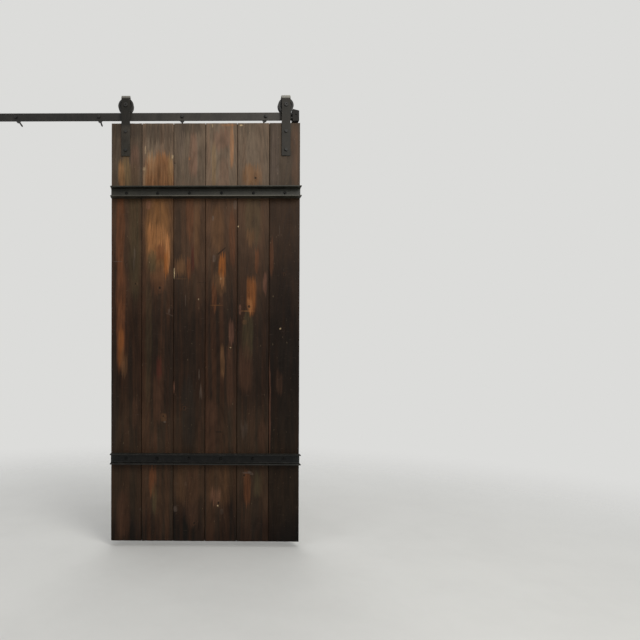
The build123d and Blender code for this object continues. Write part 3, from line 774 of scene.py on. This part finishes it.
# Planks with soft uneven arrises and faces that aren't quite flat
plankWear = {
    "across": 0.006,  # spacing of the cuts
    "through": 0.008,
    "along": 0.007,
    "edgeCuts": (0.0008, 0.0035, 0.0055, 0.0080),
    "endCuts": (0.0022, 0.0045),  # clear of the 1.5 mm arrises at the ends
    "longEdge": 1.5,  # in spacings, the length past which an edge gets rungs
    "wideGap": 4,  # in end cuts, the gap past which the holes get planes beside them
    "chamfer": 0.0024,
    "reach": 0.0050,
    "arris": 0.0013,
    "leastRub": 0.12,
    "meanRub": 0.45,
    "rubSwing": 0.55,
    "rubCells": (40, 40, 26),  # in a metre
    "rubShift": 5,  # from one plank to the next
    "waves": 0.0005,
    "waveCells": (22, 22, 4),
    "waveShift": 9,
    "dents": 9,
    "dentReach": (0.008, 0.022),
    "dentDepth": 0.0009,
    "dentShare": (0.4, 1.0),
    "knotDent": 1.6,  # in radii of the knot
    "seed": 11,
    "sharp": 28,  # degrees
}
meshLimits = {
    "merge": 1e-6,
    "touching": 1e-5,
    "flat": 0.5,  # degrees
    "decimals": 5,  # to which the lengths of edges are told apart
}


def cutPlaces(low, high, spacing, close):
    # A few cuts close to each side, the rest evenly spaced
    count = max(1, round((high - low) / spacing))
    even = [low + (high - low) * i / count for i in range(1, count)]
    even = [place for place in even if low + max(close) < place < high - max(close)]
    return [low + c for c in close] + even + [high - c for c in reversed(close)]


def cutAlong(bm, direction, places):
    for place in places:
        everything = list(bm.verts) + list(bm.edges) + list(bm.faces)
        axis = Vector(direction)
        bmesh.ops.bisect_plane(bm, geom=everything, plane_co=axis * place, plane_no=axis)


def rungsAlong(bm, low, high, wear):
    # Planes beside the holes and the ends, and even rungs on every long edge between them
    margin = wear["endCuts"][-1]
    heights = sorted(vert.co.z for vert in bm.verts if low + margin < vert.co.z < high - margin)
    planes = [low + cut for cut in wear["endCuts"]] + [high - cut for cut in wear["endCuts"]]
    for below, above in zip([low] + heights, heights + [high]):
        if above - below > wear["wideGap"] * margin:
            beside = (below + margin, above - margin)
            planes += [place for place in beside if low + margin < place < high - margin]
    cutAlong(bm, (0, 0, 1), sorted(planes))
    spans = {}
    for edge in bm.edges:
        a, b = (vert.co for vert in edge.verts)
        rise = abs(a.z - b.z)
        upright = math.hypot(a.x - b.x, a.y - b.y) < meshLimits["merge"]
        if upright and rise > wear["longEdge"] * wear["along"]:
            spans.setdefault(round(rise, meshLimits["decimals"]), []).append(edge)
    for rise, edges in spans.items():
        cuts = round(rise / wear["along"]) - 1
        bmesh.ops.subdivide_edges(bm, edges=edges, cuts=cuts, use_grid_fill=True)


def fromNode(name):
    # A merged copy of a node's mesh
    bm = bmesh.new()
    bm.from_mesh(nodes[name].data)
    bmesh.ops.remove_doubles(bm, verts=bm.verts, dist=meshLimits["merge"])
    flat = math.radians(meshLimits["flat"])
    bmesh.ops.dissolve_limit(bm, angle_limit=flat, verts=bm.verts, edges=bm.edges)
    return bm


def toPiece(bm, name, material, body, replaced, sharp):
    for face in bm.faces:
        face.smooth = True
    for edge in bm.edges:
        edge.smooth = len(edge.link_faces) == 2 and edge.calc_face_angle() < math.radians(sharp)
    piece = addObject(bm, name, material)
    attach(piece, body)
    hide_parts(replaced)


def placeDents(index, looks, wear, low, high):
    dice = random.Random(index + wear["seed"])
    dents = []
    for _ in range(wear["dents"]):
        centre = Vector((dice.uniform(low.x, high.x), low.y, dice.uniform(low.z, high.z)))
        radius = dice.uniform(*wear["dentReach"])
        dents.append((centre, radius, dice.uniform(*wear["dentShare"]) * wear["dentDepth"]))
    for (x, z), radius in looks["knots"]:
        dents.append((Vector((x, low.y, z)), radius * wear["knotDent"], wear["dentDepth"]))
    return dents


def noiseAt(place, cells, shift):
    return noise.noise(Vector((place.x * cells[0], place.y * cells[1], place.z * cells[2] + shift)))


def wearDepth(place, index, dents, wear, low, high):
    # Soft waves everywhere, more at the arrises, and the dents in the face
    half = wear["chamfer"] / 2
    wave = noiseAt(place, wear["waveCells"], index * wear["waveShift"])
    depth = wear["waves"] * (0.5 + 0.5 * wave)
    inX = min(place.x - low.x, high.x - place.x) + half
    inY = place.y - low.y - half
    inZ = min(place.z - low.z, high.z - place.z)
    near = min(math.hypot(inX, inY), math.hypot(inZ, max(0, inY)))
    rub = max(0.0, 1 - near / wear["reach"]) ** 2
    rough = noiseAt(place, wear["rubCells"], index * wear["rubShift"])
    rough = wear["meanRub"] + wear["rubSwing"] * rough
    depth += wear["arris"] * rub * max(wear["leastRub"], rough)
    if place.y < low.y + meshLimits["touching"]:
        for centre, radius, deep in dents:
            away = (place - centre).length / radius
            if away < 1:
                depth += deep * (1 - away * away) ** 2
    return depth


def makeWornPlank(index, looks, wear, material):
    name = f"plank_{index + 1}"
    low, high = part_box(name)
    bm = fromNode(name)
    front = [vert.co.x for vert in bm.verts if vert.co.y < low.y + meshLimits["touching"]]
    low.x, high.x = min(front), max(front)  # the face only, without tongue and groove
    cutAlong(bm, (1, 0, 0), cutPlaces(low.x, high.x, wear["across"], wear["edgeCuts"]))
    cutAlong(bm, (0, 1, 0), cutPlaces(low.y, high.y, wear["through"], wear["endCuts"]))
    rungsAlong(bm, low.z, high.z, wear)
    dents = placeDents(index, looks, wear, low, high)
    bmesh.ops.dissolve_degenerate(bm, dist=meshLimits["touching"], edges=bm.edges)
    manySided = [face for face in bm.faces if len(face.verts) > 4]
    bmesh.ops.triangulate(bm, faces=manySided, quad_method="BEAUTY", ngon_method="BEAUTY")
    bm.normal_update()
    for vert in bm.verts:
        vert.co -= vert.normal * wearDepth(vert.co, index, dents, wear, low, high)
    toPiece(bm, f"wornPlank{index + 1}", material, "door_leaf", name, wear["sharp"])


for plankIndex, plankLook in enumerate(plankLooks):
    plankMaterial = makePlankMaterial(plankIndex, plankLook, woodFinish)
    dress([f"plank_{plankIndex + 1}"], plankMaterial)
    makeWornPlank(plankIndex, plankLook, plankWear, plankMaterial)
print("planks cut and stained")

# Painted steel
steelLooks = {
    "rail": {
        "dark": "#211e19", "pale": "#312d27", "bare": "#625d55",
        "rub": 0.35, "reach": 0.0009, "lying": 0.25, "gloss": 0.30,
    },
    "strap": {
        "dark": "#211e18", "pale": "#322d26", "bare": "#77726a",
        "rub": 0.50, "reach": 0.0010, "lying": 1.00, "gloss": 0.18,
    },
    "stop": {
        "dark": "#141210", "pale": "#1f1c18", "bare": "#5c5952",
        "rub": 0.30, "reach": 0.0009, "lying": 0.30, "gloss": 0.12,
    },
    "upperChannel": {
        "dark": "#1f1e18", "pale": "#302f27", "bare": "#57544a",
        "rub": 0.30, "reach": 0.0009, "lying": 0.35, "gloss": 0.30,
    },
    # Painted shade: the lower channel has the upper channel's paint, made much darker
    "shadedLowerChannel": {
        "dark": "#060605", "pale": "#0c0c0a", "bare": "#1c1a17",
        "rub": 0.25, "reach": 0.0009, "lying": 0.08, "gloss": 0.26,
    },
    "wheel": {
        "dark": "#12110f", "pale": "#1d1b18", "bare": "#5c5952",
        "rub": 0.35, "reach": 0.0008, "lying": 0.40, "gloss": 0.30,
    },
    "fastener": {
        "dark": "#12110f", "pale": "#1f1d1a", "bare": "#6a665f",
        "rub": 0.45, "reach": 0.0006, "lying": 0.35, "gloss": 0.30,
    },
    "channelScrew": {
        "dark": "#060605", "pale": "#0c0b0a", "bare": "#26241f",
        "rub": 0.15, "reach": 0.0005, "lying": 0.10, "gloss": 0.20,
    },
}
steelNodes = {
    "rail": ["track_rail"],
    "strap": ["hanger_strap_left", "hanger_strap_right"],
    "upperChannel": ["channel_upper"],
    "shadedLowerChannel": ["channel_lower"],
    "stop": ["end_stop_left", "end_stop_right"],
    "wheel": ["wheel_left", "wheel_right"] + [f"standoff_{i}" for i in range(1, 6)],
    "fastener": [
        "rail_lag_screws", "rail_washers", "stop_set_screws", "strap_bolts", "strap_barrel_nuts",
        "axle_bolts", "axle_nuts", "axle_sleeves", "disc_screws",
    ],
    "channelScrew": ["channel_upper_screws", "channel_lower_screws"],
}
paintFinish = {"breakup": 0.8, "bump": (0.25, 0.0002)}
paintDust = {"hanging": 0.08, "colour": "#8b857b", "share": 0.5, "roughness": 0.25}

# Painted highlight along the front edge of each channel's lower flange, weaker towards its ends
lipHighlight = {
    "upperChannel": {"node": "channel_upper", "colour": "#5c584e", "share": 0.65, "middle": 0.58},
    "shadedLowerChannel": {"node": "channel_lower", "colour": "#24231f", "share": 0.25, "middle": 0.52},
}
lipHighlightShape = {
    "depth": 0.0015,
    "thickness": 0.005,
    "soft": 0.001,
    "span": (0.23, 0.46),  # the highlight fades out between these, to both sides of the middle
    "least": 0.2,
    "broken": {"scale": (9, 60, 60), "detail": 4, "between": (0.25, 0.60), "gives": (0.40, 1.00)},
}

# Patches of painted shade and painted highlight, soft at their sides
shadeAndHighlightPatches = {
    # Painted shade over the upper part of the left strap and a darker patch on the right strap's leg, then
    # painted highlights on the crowns of both straps
    "strap": [
        {"middle": (0.133, 0.022), "reach": (0.060, 0.070), "share": 0.75, "colour": "#12110e"},
        {"middle": (0.909, -0.050), "reach": (0.060, 0.170), "share": 0.35, "colour": "#12110e"},
        {"middle": (0.133, 0.096), "reach": (0.060, 0.013), "share": 0.65, "colour": "#77746c"},
        {"middle": (0.909, 0.094), "reach": (0.060, 0.013), "share": 0.90, "colour": "#85837a"},
    ],
    # Painted shade over the left part of the rail
    "rail": [{"middle": (-0.600, 0), "reach": (0.820, 0.060), "share": 0.75, "colour": "#0c0b0a"}],
}
patchCloud = {"scale": (70, 70, 50), "detail": 4, "between": (0.25, 0.60), "gives": (0.60, 1.00)}


def makeSteelMaterial(name, looks, finish, dusting):
    material, shader, place = newMaterial(name + "Paint")
    tints = {"Vector": place, "Dark": fromHex(looks["dark"]), "Pale": fromHex(looks["pale"])}
    paint = useGroup(satinPaint, tints)
    edges = {"Vector": place, "Radius": looks["reach"], "Breakup": finish["breakup"]}
    rub = times(useGroup(edgeRub, edges)["Mask"], looks["rub"])
    layers = {"Vector": place, "Lying": looks["lying"], "Hanging": dusting["hanging"]}
    dust = useGroup(fineDust, layers)["Mask"]
    colour = blend(rub, paint["Color"], fromHex(looks["bare"]))
    colour = blend(times(dust, dusting["share"]), colour, fromHex(dusting["colour"]))
    rough = timesPlus(dust, dusting["roughness"], paint["Roughness"])
    finishSurface(shader, colour, rough, paint["Height"], finish["bump"])
    shader.inputs["Specular IOR Level"].default_value = looks["gloss"]
    return material


def paintOver(material, looks, findMask):
    tree = material.node_tree
    base = tree.nodes["Principled BSDF"].inputs["Base Color"]
    place = addNode(tree, "TexCoord").outputs["Object"]
    mask = times(findMask(place, looks), looks["share"])
    setInput(base, blend(mask, base.links[0].from_socket, fromHex(looks["colour"])))


def findLipHighlight(place, looks):
    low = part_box(looks["node"])[0]
    inner = low.z + lipHighlightShape["thickness"]
    parts = split(place)
    lip = ramp(parts["Y"], low.y, low.y + lipHighlightShape["depth"], 1.0, 0.0)
    level = ramp(parts["Z"], inner, inner + lipHighlightShape["soft"], 1.0, 0.0)
    away = maths("ABSOLUTE", maths("SUBTRACT", parts["X"], looks["middle"]))
    inside = ramp(away, *lipHighlightShape["span"], 1.0, lipHighlightShape["least"])
    return times(lip, level, inside, pattern(place, lipHighlightShape["broken"]))


def findPatch(place, looks):
    parts = split(place)
    mask = strokeMask((1.0, parts["X"], parts["Z"]), looks["middle"], looks["reach"])
    return times(mask, pattern(place, patchCloud))


for steelName, steelLook in steelLooks.items():
    steelMaterial = makeSteelMaterial(steelName, steelLook, paintFinish, paintDust)
    dress(steelNodes[steelName], steelMaterial)
    # Painted highlight on the front edge of the channel's lower flange
    if steelName in lipHighlight:
        paintOver(steelMaterial, lipHighlight[steelName], findLipHighlight)
    # Patches of painted shade and painted highlight
    for patch in shadeAndHighlightPatches.get(steelName, []):
        paintOver(steelMaterial, patch, findPatch)
print("steel painted")

# Lag screws: hex head with a rounded rim, coarse thread and a gimlet point
lagScrew = {
    "head": 0.0053,
    "across": 0.0130,
    "headRound": 0.0009,
    "shank": 0.0040,
    "neck": 0.0010,
    "core": 0.0029,
    "crest": 0.0039,
    "threadStart": 0.0040,
    "threadEnd": 0.0010,  # short of the point
    "pitch": 0.0034,
    "foot": (0.9, 0.32),  # of the thread's section: in core radii, and half its width in pitches
    "land": 0.18,  # half the width of the crest, in half widths of the foot
    "tip": 0.0100,
    "point": 0.0002,
    "pointShare": 0.06,
    "turnSteps": 16,
    "sides": 32,
    "sharp": 28,  # degrees
}


def addHead(bm, centre, seat, looks):
    corner = looks["across"] / math.sqrt(3)
    hexagon = bmesh.ops.create_circle(bm, cap_ends=True, segments=6, radius=corner)["verts"]
    forwards = Matrix.Rotation(math.pi / 2, 3, "X")
    bmesh.ops.rotate(bm, verts=hexagon, cent=(0, 0, 0), matrix=forwards)
    bmesh.ops.translate(bm, verts=hexagon, vec=(centre, seat, 0))
    bulk = bmesh.ops.extrude_face_region(bm, geom=[hexagon[0].link_faces[0]])["geom"]
    top = [v for v in bulk if isinstance(v, bmesh.types.BMVert)]
    bmesh.ops.translate(bm, verts=top, vec=(0, -looks["head"], 0))
    rim = [e for e in bulk if isinstance(e, bmesh.types.BMEdge)]
    bmesh.ops.bevel(
        bm, geom=rim, offset=looks["headRound"], offset_type="OFFSET", segments=3,
        affect="EDGES", profile=0.5, material=-1,
    )


def addShank(bm, centre, seat, end, looks):
    # A turned solid, closed because its outline starts and ends on the axis
    start = looks["threadStart"]
    outline = [
        (0, seat), (looks["shank"], seat), (looks["shank"], start - looks["neck"]), (looks["core"], start),
        (looks["core"], end - looks["tip"]), (looks["point"], end), (0, end),
    ]
    verts = [bm.verts.new((centre + radius, place, 0)) for radius, place in outline]
    edges = [bm.edges.new(pair) for pair in zip(verts, verts[1:])]
    bmesh.ops.spin(
        bm, geom=verts + edges, cent=(centre, 0, 0), axis=(0, 1, 0), angle=2 * math.pi,
        steps=looks["sides"], use_merge=True,
    )


def addThread(bm, centre, end, looks):
    # The thread's section is carried round and forwards
    start, steps = looks["threadStart"], looks["turnSteps"]
    footShare, flankShare = looks["foot"]
    foot, crest = looks["core"] * footShare, looks["crest"]
    flank = looks["pitch"] * flankShare
    land = flank * looks["land"]
    section = [(foot, -flank), (crest, -land), (crest, land), (foot, flank)]
    verts = [bm.verts.new((centre + radius, start + flank + place, 0)) for radius, place in section]
    face = bm.faces.new(verts)
    turns = (end - start - 2 * flank - looks["threadEnd"]) / looks["pitch"]
    count = round(turns * steps)
    bmesh.ops.spin(
        bm, geom=[face, *verts, *face.edges], cent=(centre, 0, 0), axis=(0, 1, 0),
        dvec=(0, looks["pitch"] / steps, 0), angle=2 * math.pi * count / steps, steps=count,
    )


def drawInPoints(bm, places, end, looks):
    for vert in bm.verts:
        past = vert.co.y - (end - looks["tip"])
        if past > 0:
            centre = min(places, key=lambda place: abs(place - vert.co.x))
            reach = math.hypot(vert.co.x - centre, vert.co.z)
            if reach > looks["core"] * (1 - past / looks["tip"]):
                share = max(looks["pointShare"], 1 - past / looks["tip"])
                vert.co.x = centre + (vert.co.x - centre) * share
                vert.co.z *= share


def makeLagScrews(looks, material):
    low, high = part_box("rail_lag_screws")
    places = [sum(corner.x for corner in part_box(f"standoff_{i}")) / 2 for i in range(1, 6)]
    seat, end = low.y + looks["head"], high.y
    bm = bmesh.new()
    for centre in places:
        addHead(bm, centre, seat, looks)
        addShank(bm, centre, seat, end, looks)
        addThread(bm, centre, end, looks)
    drawInPoints(bm, places, end, looks)
    bmesh.ops.remove_doubles(bm, verts=bm.verts, dist=meshLimits["merge"])
    bmesh.ops.recalc_face_normals(bm, faces=bm.faces)
    toPiece(bm, "lagScrews", material, "track", "rail_lag_screws", looks["sharp"])


makeLagScrews(lagScrew, bpy.data.materials["fastenerPaint"])

# Bright bearing steel, rubber and nylon
bearingLooks = {
    "colour": "#a9a9a6",
    "tarnish": "#6e6c68",
    "cloud": {"scale": (120, 120, 120), "detail": 4, "between": (0.45, 0.80)},
    "turned": {"scale": (300, 2500, 300)},
    "roughness": 0.26,
    "turnedRoughness": 0.2,
    "bump": (0.15, 0.0001),
}
rubberLooks = {"dark": "#141413", "pale": "#232221", "roughness": 0.78}
nylonLooks = {"dark": "#191918", "pale": "#262524", "roughness": 0.5}
dullFinish = {
    "cloud": {"scale": (60, 60, 60), "detail": 5, "between": (0.35, 0.75)},
    "fine": {"scale": (900, 900, 900), "detail": 2},
    "lying": 0.4,
    "hanging": 0.1,
    "dust": "#7d7870",
    "dustShare": 0.4,
    "cloudRoughness": 0.1,
    "bump": (0.2, 0.0001),
}


def makeBearingMaterial(looks):
    material, shader, place = newMaterial("bearingSteel")
    turned = stretchedNoise(place, looks["turned"])
    cloud = pattern(place, looks["cloud"])
    colour = blend(cloud, fromHex(looks["colour"]), fromHex(looks["tarnish"]))
    rough = timesPlus(turned, looks["turnedRoughness"], looks["roughness"])
    finishSurface(shader, colour, rough, turned, looks["bump"])
    shader.inputs["Metallic"].default_value = 1.0
    return material


def makeDullMaterial(name, looks, finish):
    material, shader, place = newMaterial(name)
    cloud = pattern(place, finish["cloud"])
    layers = {"Vector": place, "Lying": finish["lying"], "Hanging": finish["hanging"]}
    dust = times(useGroup(fineDust, layers)["Mask"], finish["dustShare"])
    colour = blend(cloud, fromHex(looks["dark"]), fromHex(looks["pale"]))
    colour = blend(dust, colour, fromHex(finish["dust"]))
    rough = timesPlus(cloud, finish["cloudRoughness"], looks["roughness"])
    fine = stretchedNoise(place, finish["fine"])
    finishSurface(shader, colour, rough, fine, finish["bump"])
    return material


bearingNodes = [
    f"bearing_{part}_{side}"
    for part in ("outer_ring", "inner_ring", "balls", "shields")
    for side in ("left", "right")
]
rubber = makeDullMaterial("rubber", rubberLooks, dullFinish)
nylon = makeDullMaterial("nylon", nylonLooks, dullFinish)
dress(bearingNodes, makeBearingMaterial(bearingLooks))
dress(["stop_buttons_left", "stop_buttons_right"], rubber)
dress(["anti_jump_disc_left", "anti_jump_disc_right"], nylon)
print("bearings, rubber and nylon dressed")
